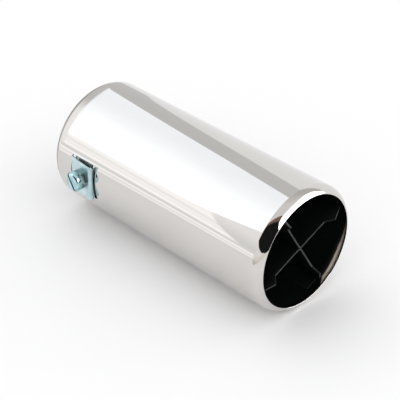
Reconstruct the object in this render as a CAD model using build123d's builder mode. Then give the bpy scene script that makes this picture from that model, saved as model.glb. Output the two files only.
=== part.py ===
"""Bolt-on exhaust tip: a polished tube with both ends drawn in, a cross of folded sheet just
inside the outlet, and a clamp near the inlet that grips the tail pipe.

The tube lies along X with the inlet at x = 0 and the outlet towards +X. Z is up, and the clamp
is on the -Y side.
"""

import os
from math import acos, asin, atan2, cos, degrees, radians, sin, sqrt

from build123d import *

# Tube, in millimetres
tube_diameter = 76.0
tube_length = 170.0
tube_wall = 1.0
lip_drop = 4.0  # how far each end is drawn in from the outside
lip_radius = 6.5  # outside radius of a drawn-in end

# Cross strips at the outlet
strip_sheet = 1.0
strip_depth = 26.0  # from the outlet plane to the strips' rear edge
strip_angle = 98.0  # between the two arms of one strip
strip_turn = 18.0  # turn of the whole cross about the tube's axis
apex_bend = 2.0  # bend radius at mid-sheet where the two arms meet
apex_gap = 0.1  # between the backs of the two strips
foot_length = 9.0  # along the wall
foot_bend = 1.5  # bend radius at mid-sheet
foot_gap = 0.05  # between a foot and the wall
foot_setback = 1.0  # from the start of the drawn-in end back to the feet

# Front edge of every arm: depth behind the outlet plane, and distance in from the wall
hollow_depth = 4.5
hollow_inset = 16.0
horn_depth = 0.3
horn_inset = 11.5
shoulder_depth = 4.0
shoulder_inset = 2.5

# Clamp bracket, folded through two slots of the tube
bracket_width = 22.0  # of the plate outside the tube
bracket_sheet = 1.2
bracket_start = 18.4  # from the inlet to the bracket's first leg
bracket_span = 19.0  # over both legs
bracket_rise = 1.4  # the outlet end of the plate stands this much higher than its inlet end
bracket_lift = 0.1  # between the tube and the low end of the plate
bracket_bend = 1.2  # bend radius at mid-sheet
leg_width = 17.0  # where the tapered legs pass the wall
hook_length = 5.0
hook_corner = 1.5
hook_gap = 0.05  # between a hook and the inside of the wall
slot_side_clearance = 1.2
slot_end_clearance = 3.0

# Clamp screw, and the nut fixed on the plate that holds its thread
screw_diameter = 6.0
screw_length = 25.0
screw_tip_chamfer = 1.0
thread_clearance = 0.05  # radial, in the nut
plate_hole_clearance = 0.3  # radial, in the bracket's plate
wall_hole_clearance = 0.7  # radial, in the tube
head_diameter = 12.0
head_height = 3.6
head_round = 1.8
head_gap = 0.1  # between the head and the nut
driver_slot_width = 1.6
driver_slot_depth = 1.8
driver_slot_turn = -54.0  # from the tube's axis, seen on the head
nut_across_flats = 10.0
nut_height = 3.0
nut_chamfer = 0.6  # drop of the turned-off corners

# Sizes that follow from those above
outer_radius = tube_diameter / 2
inner_radius = outer_radius - tube_wall
opening_radius = outer_radius - lip_drop
lip_centre_radius = outer_radius - lip_radius
lip_end_angle = degrees(asin((opening_radius - lip_centre_radius) / lip_radius))
lip_inside_angle = degrees(asin((opening_radius - lip_centre_radius) / (lip_radius - tube_wall)))
lip_run = lip_radius * cos(radians(lip_end_angle))

# Bracket stations along the tube, and heights out from the tube's axis
inlet_leg = bracket_start + bracket_sheet / 2
outlet_leg = bracket_start + bracket_span - bracket_sheet / 2
hook_height = sqrt(inner_radius**2 - (leg_width / 2) ** 2) - hook_gap - bracket_sheet / 2
low_height = outer_radius + bracket_lift + bracket_sheet / 2
high_height = low_height + bracket_rise
slot_length = leg_width + 2 * slot_end_clearance
slot_width = bracket_sheet + 2 * slot_side_clearance

# Looking down on the clamp section: x along the tube, y out to the clamp's side
clamp_plane = Plane(origin=(0, 0, 0), x_dir=(1, 0, 0), z_dir=(0, 0, -1))

# The screw stands square on the middle of the sloping plate
plate_slope = atan2(bracket_rise, outlet_leg - inlet_leg)
plate_middle = ((inlet_leg + outlet_leg) / 2, (low_height + high_height) / 2)
plate_normal = Vector(-sin(plate_slope), -cos(plate_slope), 0)
plate_along = Vector(cos(plate_slope), -sin(plate_slope), 0)
plate_centre = Vector(plate_middle[0], -plate_middle[1], 0)
plate_face = Plane(
    origin=plate_centre + plate_normal * (bracket_sheet / 2),
    x_dir=plate_along,
    z_dir=plate_normal,
)
head_seat = plate_face.offset(nut_height + head_gap)
screw_axis = Axis(plate_face.origin, plate_normal)
nut_corner = nut_across_flats / sqrt(3) - nut_across_flats / 2  # how far a corner stands past a flat

# One strip about its own middle line: where the arms start, and where they reach the wall
half_angle = radians(strip_angle / 2)
foot_radius = inner_radius - foot_gap - strip_sheet / 2
apex_height = apex_gap / 2 + strip_sheet / 2 + apex_bend - apex_bend / sin(half_angle)
arm_length = sqrt(foot_radius**2 - (apex_height * sin(half_angle)) ** 2) - apex_height * cos(half_angle)
arm_end_angle = degrees(acos((apex_height + arm_length * cos(half_angle)) / foot_radius))
foot_sweep = degrees(foot_length / foot_radius)

os.makedirs("parts", exist_ok=True)

# Tube: one half is turned from its section, then mirrored to the other end
with BuildPart() as outer_tube:
    with BuildSketch(Plane.XZ):
        with BuildLine():
            lip_centre = (tube_length - lip_run, lip_centre_radius)
            outside = Line((tube_length / 2, outer_radius), (tube_length - lip_run, outer_radius))
            lip_outside = CenterArc(lip_centre, lip_radius, 90, lip_end_angle - 90)
            lip_inside = CenterArc(lip_centre, lip_radius - tube_wall, 90, lip_inside_angle - 90)
            Line(lip_outside @ 1, lip_inside @ 1)
            inside = Line(lip_inside @ 0, (tube_length / 2, inner_radius))
            Line(inside @ 1, outside @ 0)
        make_face()
    revolve(axis=Axis.X)
    mirror(about=Plane.YZ.offset(tube_length / 2))
    with BuildSketch(Plane.XZ.offset(hook_height)):
        with Locations((inlet_leg, 0), (outlet_leg, 0)):
            SlotOverall(slot_length, slot_width, rotation=90)
    extrude(amount=tube_diameter, mode=Mode.SUBTRACT)
    with Locations(plate_face):
        Hole(screw_diameter / 2 + wall_hole_clearance, depth=outer_radius)
outer_tube.part.label = "outer_tube"
export_step(outer_tube.part, "parts/outer_tube.step")

# Bracket: one strip, folded down through both slots and hooked under the wall
with BuildPart() as clamp_bracket:
    with BuildSketch(clamp_plane):
        with BuildLine():
            FilletPolyline(
                (inlet_leg - hook_length, hook_height),
                (inlet_leg, hook_height),
                (inlet_leg, low_height),
                (outlet_leg, high_height),
                (outlet_leg, hook_height),
                (outlet_leg + hook_length, hook_height),
                radius=bracket_bend,
            )
        trace(line_width=bracket_sheet)
    extrude(amount=bracket_width / 2, both=True)
    for leg, top, outward in ((inlet_leg, low_height, -1), (outlet_leg, high_height, 1)):
        with BuildSketch(Plane.YZ.offset(leg - outward * bracket_sheet / 2)):
            with BuildLine():
                Polyline(
                    (-(top - bracket_bend), bracket_width / 2),
                    (-(hook_height + bracket_bend), leg_width / 2),
                    (0, leg_width / 2),
                    (0, bracket_width / 2),
                    close=True,
                )
            make_face()
            mirror(about=Plane.XZ)
        extrude(amount=outward * (hook_length + bracket_sheet), mode=Mode.SUBTRACT)
    hook_ends = clamp_bracket.faces().filter_by(Axis.X).sort_by(Axis.X)
    hook_corners = (hook_ends[0].edges() + hook_ends[-1].edges()).filter_by(Axis.Y)
    fillet(hook_corners, hook_corner)
    with Locations(plate_face):
        Hole(screw_diameter / 2 + plate_hole_clearance, depth=bracket_width)
clamp_bracket.part.label = "clamp_bracket"
export_step(clamp_bracket.part, "parts/clamp_bracket.step")

# Nut: seated on the plate, with its outer corners turned off
with BuildPart() as clamp_nut:
    with BuildSketch(plate_face):
        RegularPolygon(nut_across_flats / 2, 6, major_radius=False)
    extrude(amount=nut_height)
    with BuildSketch(Plane(plate_face.origin, x_dir=plate_along, z_dir=(0, 0, -1))):
        with BuildLine():
            Polyline(
                (nut_across_flats / 2, nut_height),
                (nut_across_flats / 2 + 2 * nut_corner, nut_height),
                (nut_across_flats / 2 + 2 * nut_corner, nut_height - 2 * nut_chamfer),
                close=True,
            )
        make_face()
    revolve(axis=screw_axis, mode=Mode.SUBTRACT)
    with Locations(plate_face.offset(nut_height)):
        Hole(screw_diameter / 2 + thread_clearance)
clamp_nut.part.label = "clamp_nut"
export_step(clamp_nut.part, "parts/clamp_nut.step")

# Screw: shank through nut, bracket and wall, slotted pan head outside
with BuildPart() as clamp_screw:
    with BuildSketch(head_seat):
        Circle(screw_diameter / 2)
    extrude(amount=-screw_length)
    chamfer(clamp_screw.edges().filter_by(GeomType.CIRCLE).sort_by(screw_axis)[0], screw_tip_chamfer)
    with BuildSketch(head_seat):
        Circle(head_diameter / 2)
    extrude(amount=head_height)
    fillet(clamp_screw.edges().filter_by(GeomType.CIRCLE).sort_by(screw_axis)[-1], head_round)
    with BuildSketch(head_seat.offset(head_height)):
        Rectangle(head_diameter, driver_slot_width, rotation=driver_slot_turn)
    extrude(amount=-driver_slot_depth, mode=Mode.SUBTRACT)
clamp_screw.part.label = "clamp_screw"
export_step(clamp_screw.part, "parts/clamp_screw.step")

# Cross: two like strips, back to back on the tube's axis
for strip_name, turn in (("upper_cross_strip", strip_turn), ("lower_cross_strip", strip_turn + 180)):
    # In the outlet's plane, facing into the tube: the strip opens towards the sketch's y
    across = (0, -cos(radians(turn)), sin(radians(turn)))
    strip_plane = Plane(origin=(tube_length, 0, 0), x_dir=across, z_dir=(-1, 0, 0))
    with BuildPart() as cross_strip:
        with BuildSketch(strip_plane):
            with BuildLine() as run:
                first_foot = CenterArc((0, 0), foot_radius, 90 - arm_end_angle + foot_sweep, -foot_sweep)
                last_foot = CenterArc((0, 0), foot_radius, 90 + arm_end_angle, -foot_sweep)
                arms = Polyline(first_foot @ 1, (0, apex_height), last_foot @ 0)
                fillet(run.vertices().sort_by_distance((0, 0))[0], apex_bend)
                for corner in (first_foot @ 1, last_foot @ 0):
                    fillet(run.vertices().sort_by_distance(corner)[0], foot_bend)
            trace(line_width=strip_sheet)
        extrude(amount=strip_depth)
        with BuildSketch(Plane.XZ):
            with BuildLine():
                Polyline(
                    (tube_length - hollow_depth, 0),
                    (tube_length - hollow_depth, inner_radius - hollow_inset),
                    (tube_length - horn_depth, inner_radius - horn_inset),
                    (tube_length - shoulder_depth, inner_radius - shoulder_inset),
                    (tube_length - lip_run - foot_setback, inner_radius - shoulder_inset),
                    (tube_length - lip_run - foot_setback, outer_radius),
                    (tube_length + strip_sheet, outer_radius),
                    (tube_length + strip_sheet, 0),
                    close=True,
                )
            make_face()
        revolve(axis=Axis.X, mode=Mode.SUBTRACT)
    cross_strip.part.label = strip_name
    export_step(cross_strip.part, f"parts/{strip_name}.step")
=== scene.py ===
"""Looks of the bolt-on exhaust tip: polished tube, black cross in the outlet, zinc-plated clamp.

Every size is in millimetres in the part's own frame, and becomes metres where a mesh is made. The
tube lies along X with the inlet at x = 0, Z is up, and the clamp is on the -Y side. The studio's own
sizes are in metres, except where a class says otherwise.
"""

from __future__ import annotations

import logging
from collections.abc import Iterable
from dataclasses import dataclass, field
from enum import Enum
from math import asin, atan2, cos, degrees, floor, pi, radians, sin, sqrt, tan

import bmesh
import bpy
from bmesh.types import BMEdge, BMesh, BMVert
from bpy.types import Material, Node, NodeSocket, NodeTree, Object, SolidifyModifier
from mathutils import Matrix, Vector

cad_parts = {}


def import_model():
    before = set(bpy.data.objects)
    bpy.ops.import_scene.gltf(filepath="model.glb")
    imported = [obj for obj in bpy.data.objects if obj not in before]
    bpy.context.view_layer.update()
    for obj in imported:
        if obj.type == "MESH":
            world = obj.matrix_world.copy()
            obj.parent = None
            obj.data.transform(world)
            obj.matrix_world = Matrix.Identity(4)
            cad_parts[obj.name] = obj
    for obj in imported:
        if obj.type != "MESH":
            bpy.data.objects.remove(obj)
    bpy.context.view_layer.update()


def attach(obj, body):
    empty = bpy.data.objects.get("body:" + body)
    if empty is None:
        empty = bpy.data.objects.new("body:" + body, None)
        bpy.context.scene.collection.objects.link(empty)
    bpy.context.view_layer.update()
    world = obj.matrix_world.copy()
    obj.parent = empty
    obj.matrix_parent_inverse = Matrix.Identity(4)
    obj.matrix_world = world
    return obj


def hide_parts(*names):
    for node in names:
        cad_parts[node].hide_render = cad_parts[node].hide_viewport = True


log = logging.getLogger("exhaust_tip")

Colour = tuple[float, float, float, float]
Span = tuple[float, float]
Angles = tuple[float, float]
Triple = tuple[float, float, float]

MM = 0.001
SMOOTH_ANGLE = radians(32)
MERGE_DISTANCE = 1e-6
BEND_SEGMENTS = 8
TOOL_SEGMENTS = 64
TOOL_REACH = 4
NOISE_RANGE: Span = (0.3, 0.7)

BLACK_PAINT: Colour = (0.0016, 0.0028, 0.0024, 1)
DUSTY_PAINT: Colour = (0.0035, 0.005, 0.0045, 1)
PAINT_SPECULAR = 0.12


class Body(Enum):
    """The moving bodies of the part."""

    TIP = "tip"
    SCREW = "screw"


class Slot(Enum):
    """The record's material slots."""

    POLISHED_STEEL = "polished_steel"
    ZINC_PLATE = "zinc_plate"
    BLACK_PAINT = "black_paint"


class Cut(Enum):
    """What a cutting tool does to a blank."""

    REMOVE = "DIFFERENCE"
    KEEP = "INTERSECT"


class Rounded(Enum):
    """What a rounding takes off."""

    CORNERS = "VERTICES"
    EDGES = "EDGES"


# Mesh helpers


def held(value: float) -> float:
    """Holds a value from 0 to 1."""
    return min(1.0, max(0.0, value))


def mesh_object(bm: BMesh, name: str) -> Object:
    """Turns a bmesh into an object of the scene.

    Args:
        bm: The finished bmesh, which is freed here.
        name: The object's name.

    Returns:
        The new object, at the origin.
    """
    mesh = bpy.data.meshes.new(name)
    bm.to_mesh(mesh)
    bm.free()
    made = bpy.data.objects.new(name, mesh)
    bpy.context.scene.collection.objects.link(made)
    return made


def draw_line(bm: BMesh, points: Iterable[Vector], start: BMVert | None = None) -> list[BMVert]:
    """Draws a line through points.

    Args:
        bm: The bmesh that is drawn in.
        points: The line's points, in order.
        start: A vertex that the line goes on from.

    Returns:
        The line's vertices, from the start if there is one.
    """
    drawn = [start] if start else []
    for point in points:
        if drawn:
            made = bmesh.ops.extrude_vert_indiv(bm, verts=[drawn[-1]])["verts"][0]
            made.co = point
        else:
            made = bm.verts.new(point)
        drawn.append(made)
    return drawn


def sweep_point(bm: BMesh, vert: BMVert, centre: Vector, axis: Vector, angle: float, steps: int) -> BMVert:
    """Draws an arc from a vertex.

    Args:
        bm: The bmesh that is drawn in.
        vert: Where the arc starts.
        centre: The arc's centre.
        axis: The axis that the vertex turns about.
        angle: The arc's angle in radians.
        steps: How many edges the arc has.

    Returns:
        The vertex at the arc's end.
    """
    swept = bmesh.ops.spin(bm, geom=[vert], cent=centre, axis=axis, angle=angle, steps=steps)
    return next(item for item in swept["geom_last"] if isinstance(item, BMVert))


def turn_round(bm: BMesh, axis: Vector, steps: int, merge: float) -> None:
    """Turns a drawn section into a closed shell, with its faces outwards.

    Args:
        bm: The bmesh that holds the section.
        axis: The axis through the origin that it turns about.
        steps: How many segments the full turn has.
        merge: How near two vertices are to be merged.
    """
    bmesh.ops.spin(
        bm,
        geom=bm.verts[:] + bm.edges[:],
        cent=(0, 0, 0),
        axis=axis,
        angle=2 * pi,
        steps=steps,
        use_merge=True,
    )
    bmesh.ops.remove_doubles(bm, verts=bm.verts, dist=merge)
    bmesh.ops.recalc_face_normals(bm, faces=bm.faces)


def extrude_edges(bm: BMesh, edges: list[BMEdge]) -> tuple[list[BMVert], list[BMEdge]]:
    """Extrudes edges in place.

    Args:
        bm: The bmesh of the edges.
        edges: The edges.

    Returns:
        The new vertices, and the new edges between them.
    """
    grown = bmesh.ops.extrude_edge_only(bm, edges=edges)["geom"]
    verts = [item for item in grown if isinstance(item, BMVert)]
    fresh = set(verts)
    far = [item for item in grown if isinstance(item, BMEdge) and fresh.issuperset(item.verts)]
    return verts, far


def round_off(bm: BMesh, geometry: list, width: float, segments: int, what: Rounded) -> None:
    """Rounds corners or edges of a bmesh.

    Args:
        bm: The bmesh.
        geometry: The vertices or edges.
        width: How far from them the rounding starts.
        segments: How many faces or edges the rounding has.
        what: Whether corners or edges are rounded.
    """
    bmesh.ops.bevel(
        bm,
        geom=geometry,
        offset=width,
        offset_type="OFFSET",
        segments=segments,
        profile=0.5,
        affect=what.value,
        material=-1,
    )


def make_bend(bm: BMesh, corner: BMVert, radius: float) -> None:
    """Makes a corner of a drawn line a bend.

    Args:
        bm: The bmesh of the line.
        corner: The corner.
        radius: The bend's radius.
    """
    before, after = (edge.other_vert(corner).co - corner.co for edge in corner.link_edges)
    turn = pi - before.angle(after)
    round_off(bm, [corner], radius * tan(turn / 2), BEND_SEGMENTS, Rounded.CORNERS)


def straight_bar(
    name: str, radius: float, length: float, place: Matrix, segments: int = TOOL_SEGMENTS
) -> Object:
    """Makes a closed bar, as a tool for cutting.

    Args:
        name: The bar's name.
        radius: Its radius at the corners.
        length: Its length.
        place: What its sizes are multiplied by to become metres, with its place.
        segments: How many sides it has.

    Returns:
        The bar.
    """
    bm = bmesh.new()
    bmesh.ops.create_cone(
        bm, cap_ends=True, segments=segments, radius1=radius, radius2=radius, depth=length, matrix=place
    )
    return mesh_object(bm, name)


def cut(target: Object, tool: Object, how: Cut) -> None:
    """Cuts a blank with a tool, and removes the tool.

    Args:
        target: The blank, whose mesh is replaced and whose modifiers are applied.
        tool: The closed shape that cuts.
        how: Whether the tool's inside is removed or kept.
    """
    step = target.modifiers.new("cut", "BOOLEAN")
    step.operation = how.value
    step.solver = "EXACT"
    step.object = tool
    bpy.context.view_layer.update()
    graph = bpy.context.evaluated_depsgraph_get()
    result = bpy.data.meshes.new_from_object(target.evaluated_get(graph))
    blank = target.data
    target.modifiers.clear()
    target.data = result
    result.name = blank.name
    bpy.data.meshes.remove(blank)
    bpy.data.objects.remove(tool)


def thicken(piece: Object, sheet: float) -> SolidifyModifier:
    """Gives a folded face the thickness of its sheet, half to each side.

    Args:
        piece: The folded face.
        sheet: The thickness in millimetres.

    Returns:
        The modifier.
    """
    step = piece.modifiers.new("sheet", "SOLIDIFY")
    step.thickness = sheet * MM
    step.offset = 0.0
    step.use_even_offset = True
    return step


def shade(piece: Object) -> None:
    """Smooths a piece's faces, with its sharp edges kept sharp."""
    piece.data.shade_smooth()
    piece.data.set_sharp_from_angle(angle=SMOOTH_ANGLE)


def soften_edges(piece: Object, width: float, segments: int = 2) -> None:
    """Rounds the sharp edges of a piece.

    Args:
        piece: The object whose edges are rounded.
        width: The rounding's width in millimetres.
        segments: How many faces the rounding has.
    """
    step = piece.modifiers.new("edge rounding", "BEVEL")
    step.width = width * MM
    step.segments = segments
    step.limit_method = "ANGLE"
    step.angle_limit = SMOOTH_ANGLE
    step.miter_outer = "MITER_ARC"


def fit(piece: Object, body: Body, node: str, slot: Slot, *finishes: Material) -> None:
    """Gives a piece its finishes and its place in the part.

    Args:
        piece: The finished piece.
        body: The body that it rides on.
        node: The CAD node that it replaces.
        slot: Its material slot in the record; not used.
        finishes: Its materials, in the order of its own material slots.
    """
    piece.data.materials.clear()
    for finish in finishes:
        piece.data.materials.append(finish)
    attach(piece, body.value)
    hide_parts(node)


# Shader helpers


class Wiring:
    """Adds and links the nodes of one node tree."""

    VALUE_OPERATIONS = ("LENGTH", "DISTANCE", "DOT_PRODUCT")
    FIRST_COLOUR = 6
    SECOND_COLOUR = 7
    MIXED_COLOUR = 2

    def __init__(self, tree: NodeTree) -> None:
        """Keeps the tree that is wired."""
        self.tree = tree

    def node(self, kind: str, **values: object) -> Node:
        """Adds a node.

        Args:
            kind: The node's type.
            values: Properties of the node to set.

        Returns:
            The new node.
        """
        made = self.tree.nodes.new(kind)
        for name, value in values.items():
            setattr(made, name, value)
        return made

    def feed(self, socket: NodeSocket, source: object) -> None:
        """Sets a socket to a value, or links another socket to it.

        Args:
            socket: The socket that is fed.
            source: A value or a socket.
        """
        if isinstance(source, NodeSocket):
            self.tree.links.new(source, socket)
        else:
            socket.default_value = source

    def math(self, operation: str, first: object, second: object = 0.0, clamp: bool = False) -> NodeSocket:
        """Adds a Math node.

        Args:
            operation: The node's operation.
            first: A value or a socket.
            second: A value or a socket.
            clamp: Whether the result is held from 0 to 1.

        Returns:
            The node's result.
        """
        made = self.node("ShaderNodeMath", operation=operation, use_clamp=clamp)
        self.feed(made.inputs[0], first)
        self.feed(made.inputs[1], second)
        return made.outputs[0]

    def vector(self, operation: str, first: object, second: object = (0, 0, 0)) -> NodeSocket:
        """Adds a Vector Math node.

        Args:
            operation: The node's operation.
            first: A vector or a socket.
            second: A vector or a socket.

        Returns:
            The node's result, a value or a vector by its operation.
        """
        made = self.node("ShaderNodeVectorMath", operation=operation)
        self.feed(made.inputs[0], first)
        self.feed(made.inputs[1], second)
        return made.outputs["Value" if operation in self.VALUE_OPERATIONS else "Vector"]

    def ramp(
        self,
        value: object,
        low: float,
        high: float,
        at_low: object = 0.0,
        at_high: object = 1.0,
        smooth: bool = False,
    ) -> NodeSocket:
        """Adds a Map Range node.

        Args:
            value: The value that is mapped.
            low: The value that gives at_low.
            high: The value that gives at_high.
            at_low: The result at low.
            at_high: The result at high.
            smooth: Whether the change starts and ends softly.

        Returns:
            The mapped value.
        """
        made = self.node("ShaderNodeMapRange", interpolation_type="SMOOTHSTEP" if smooth else "LINEAR")
        for socket, source in zip(made.inputs, (value, low, high, at_low, at_high)):
            self.feed(socket, source)
        return made.outputs[0]

    def blend(self, share: object, first: object, second: object) -> NodeSocket:
        """Adds a Mix node for colours.

        Args:
            share: How much of the second colour shows.
            first: A colour or a socket.
            second: A colour or a socket.

        Returns:
            The mixed colour.
        """
        made = self.node("ShaderNodeMix", data_type="RGBA")
        self.feed(made.inputs["Factor"], share)
        self.feed(made.inputs[self.FIRST_COLOUR], first)
        self.feed(made.inputs[self.SECOND_COLOUR], second)
        return made.outputs[self.MIXED_COLOUR]

    def noise(self, vector: object, **values: object) -> NodeSocket:
        """Adds a Noise Texture node.

        Args:
            vector: Where the noise is read.
            values: The node's other inputs.

        Returns:
            The noise's value.
        """
        made = self.node("ShaderNodeTexNoise")
        self.feed(made.inputs["Vector"], vector)
        for name, value in values.items():
            self.feed(made.inputs[name], value)
        return made.outputs["Fac"]

    def here(self) -> NodeSocket:
        """Object coordinates."""
        return self.node("ShaderNodeTexCoord").outputs["Object"]

    def stretched(self, scale: Triple) -> NodeSocket:
        """Object coordinates, scaled.

        Args:
            scale: The scale along each axis.

        Returns:
            The scaled coordinates.
        """
        mapping = self.node("ShaderNodeMapping")
        self.feed(mapping.inputs["Vector"], self.here())
        self.feed(mapping.inputs["Scale"], scale)
        return mapping.outputs[0]

    def axis(self, name: str) -> NodeSocket:
        """One axis of the Object coordinates.

        Args:
            name: X, Y or Z.

        Returns:
            The coordinate in metres.
        """
        parts = self.node("ShaderNodeSeparateXYZ")
        self.feed(parts.inputs[0], self.here())
        return parts.outputs[name]

    def within(self, value: object, low: float, high: float, soft: float) -> NodeSocket:
        """A mask for a span of values.

        Args:
            value: The value that is looked at.
            low: Where the span starts.
            high: Where the span ends.
            soft: How far the mask fades outside the span.

        Returns:
            1 inside the span, 0 outside it.
        """
        past = self.ramp(value, low - soft, low)
        before = self.ramp(value, high, high + soft, 1.0, 0.0)
        return self.math("MULTIPLY", past, before)

    def bump(self, height: object, distance: float, strength: float = 1.0) -> NodeSocket:
        """Adds a Bump node.

        Args:
            height: The height, from 0 to 1.
            distance: The height in millimetres at 1.
            strength: How much of it shows.

        Returns:
            The bumped normal.
        """
        made = self.node("ShaderNodeBump")
        self.feed(made.inputs["Height"], height)
        self.feed(made.inputs["Distance"], distance * MM)
        self.feed(made.inputs["Strength"], strength)
        return made.outputs[0]

    def seen(self) -> NodeSocket:
        """A mask of what the camera, metal or glass sees.

        Returns:
            1 for such a ray, 0 for the light that falls on other things.
        """
        path = self.node("ShaderNodeLightPath")
        mirrored = self.math("ADD", path.outputs["Is Glossy Ray"], path.outputs["Is Transmission Ray"])
        return self.math("ADD", path.outputs["Is Camera Ray"], mirrored, clamp=True)


class SharedEffects:
    """Shader node groups that several finishes use."""

    WIPE_START = 0.75
    WIPE_CONTRAST = 3.0

    def __init__(self) -> None:
        """Builds each group once."""
        self.wipe_marks = self._wipe_marks()
        self.fine_grain = self._fine_grain()

    @staticmethod
    def _group(name: str, inputs: tuple[str, ...], output: str) -> tuple[NodeTree, Wiring, Node]:
        """Makes a group with its sockets.

        Args:
            name: The group's name.
            inputs: The names of its inputs besides Vector, all values.
            output: The name of its output, a value.

        Returns:
            The group's node tree, its wiring and its input node.
        """
        tree = bpy.data.node_groups.new(name, "ShaderNodeTree")
        tree.interface.new_socket("Vector", in_out="INPUT", socket_type="NodeSocketVector")
        for socket in inputs:
            tree.interface.new_socket(socket, in_out="INPUT", socket_type="NodeSocketFloat")
        tree.interface.new_socket(output, in_out="OUTPUT", socket_type="NodeSocketFloat")
        wires = Wiring(tree)
        return tree, wires, wires.node("NodeGroupInput")

    def _wipe_marks(self) -> NodeTree:
        """Soft patches, as left by wiping and handling.

        Returns:
            The group, with a mask from 0 to 1.
        """
        tree, wires, given = self._group("wipe_marks", ("Scale", "Cover"), "Mask")
        patches = wires.noise(
            given.outputs["Vector"], Scale=given.outputs["Scale"], Detail=5.0, Distortion=0.6
        )
        start = wires.math("SUBTRACT", self.WIPE_START, given.outputs["Cover"])
        above = wires.math("SUBTRACT", patches, start)
        mask = wires.math("MULTIPLY", above, self.WIPE_CONTRAST, clamp=True)
        wires.feed(wires.node("NodeGroupOutput").inputs["Mask"], mask)
        return tree

    def _fine_grain(self) -> NodeTree:
        """Fine lines or grain, by the stretch of the coordinates.

        Returns:
            The group, with a value from 0 to 1.
        """
        tree, wires, given = self._group("fine_grain", ("Scale",), "Grain")
        lines = wires.noise(given.outputs["Vector"], Scale=given.outputs["Scale"], Detail=3.0, Roughness=0.7)
        wires.feed(wires.node("NodeGroupOutput").inputs["Grain"], wires.ramp(lines, *NOISE_RANGE))
        return tree

    @staticmethod
    def use(wires: Wiring, tree: NodeTree, vector: object, **values: float) -> NodeSocket:
        """Places a group in a material.

        Args:
            wires: The material's wiring.
            tree: The group.
            vector: The coordinates that it reads.
            values: The group's other inputs.

        Returns:
            The group's only output.
        """
        made = wires.node("ShaderNodeGroup", node_tree=tree)
        wires.feed(made.inputs["Vector"], vector)
        for name, value in values.items():
            wires.feed(made.inputs[name], value)
        return made.outputs[0]


def new_material(name: str) -> tuple[Material, Wiring, Node]:
    """Starts a material.

    Args:
        name: The material's name.

    Returns:
        The material, its wiring and its Principled BSDF.
    """
    made = bpy.data.materials.new(name)
    made.use_nodes = True
    return made, Wiring(made.node_tree), made.node_tree.nodes["Principled BSDF"]


# Finishes


@dataclass(frozen=True)
class PolishedSteel:
    """Mirror-polished steel, with faint wipe marks and a slight unevenness of the sheet.

    The inlet's curl is darker and rougher, and the tube under the clamp's plate is painted near black as
    painted shade, where the plate shades it.
    """

    colour: Colour = (0.668, 0.648, 0.627, 1)
    wiped_colour: Colour = (0.638, 0.618, 0.597, 1)
    roughness: Span = (0.03, 0.075)
    wipe_stretch: Triple = (14.0, 55.0, 55.0)
    wipe_cover: float = 0.32
    line_stretch: Triple = (3.0, 900.0, 900.0)
    faintest_line: float = 0.55
    wave_stretch: Triple = (9.0, 26.0, 26.0)
    wave_height: float = 0.06
    # Darker colour within a few millimetres of the inlet's edge.
    inlet_dark_colour: Colour = (0.27, 0.265, 0.26, 1)
    dull_roughness: float = 0.3
    inlet_dark_depth: Span = (3.9, 4.7)
    # Painted shade: near black on the tube under the clamp's plate, where the plate shades it.
    under_plate_shade_colour: Colour = (0.012, 0.014, 0.014, 1)
    under_plate_shade_along: Span = (20.6, 35.4)
    under_plate_shade_height: float = 7.6
    under_plate_shade_fade: Span = (0.6, 0.4)

    def _under_plate_shade(self, wires: Wiring) -> NodeSocket:
        """The mask of the painted shade on the tube under the clamp's plate.

        Args:
            wires: The material's wiring.

        Returns:
            The mask.
        """
        start, end = self.under_plate_shade_along
        fade_along, fade_up = self.under_plate_shade_fade
        along = wires.within(wires.axis("X"), start * MM, end * MM, fade_along * MM)
        up = wires.within(wires.axis("Z"), -self.under_plate_shade_height * MM, self.under_plate_shade_height * MM, fade_up * MM)
        clamp_side = wires.ramp(wires.axis("Y"), 0.0, -MM)
        return wires.math("MULTIPLY", clamp_side, wires.math("MULTIPLY", along, up))

    def material(self, effects: SharedEffects) -> Material:
        """Builds the material.

        Args:
            effects: The shared node groups.

        Returns:
            The material.
        """
        made, wires, shader = new_material("polished_steel")
        wiped = effects.use(
            wires, effects.wipe_marks, wires.stretched(self.wipe_stretch), Scale=1.0, Cover=self.wipe_cover
        )
        lines = effects.use(wires, effects.fine_grain, wires.stretched(self.line_stretch), Scale=1.0)
        mark = wires.math("MULTIPLY", wiped, wires.ramp(lines, 0.0, 1.0, self.faintest_line, 1.0))
        # Darker and rougher within a few millimetres of the inlet's edge.
        inlet_dark = wires.ramp(wires.axis("X"), *(depth * MM for depth in self.inlet_dark_depth), 1.0, 0.0)
        under_plate_shade = self._under_plate_shade(wires)
        clean = wires.blend(mark, self.colour, self.wiped_colour)
        # The tube turns near black under the clamp's plate, as painted shade.
        colour = wires.blend(under_plate_shade, wires.blend(inlet_dark, clean, self.inlet_dark_colour), self.under_plate_shade_colour)
        wires.feed(shader.inputs["Base Color"], colour)
        polish = wires.ramp(mark, 0.0, 1.0, *self.roughness)
        matt = wires.math("MULTIPLY", wires.math("MAXIMUM", inlet_dark, under_plate_shade), self.dull_roughness)
        wires.feed(shader.inputs["Roughness"], wires.math("MAXIMUM", polish, matt))
        shader.inputs["Metallic"].default_value = 1.0
        waves = wires.noise(wires.stretched(self.wave_stretch), Scale=1.0, Detail=2.0, Roughness=0.55)
        wires.feed(shader.inputs["Normal"], wires.bump(waves, self.wave_height))
        return made


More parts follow.
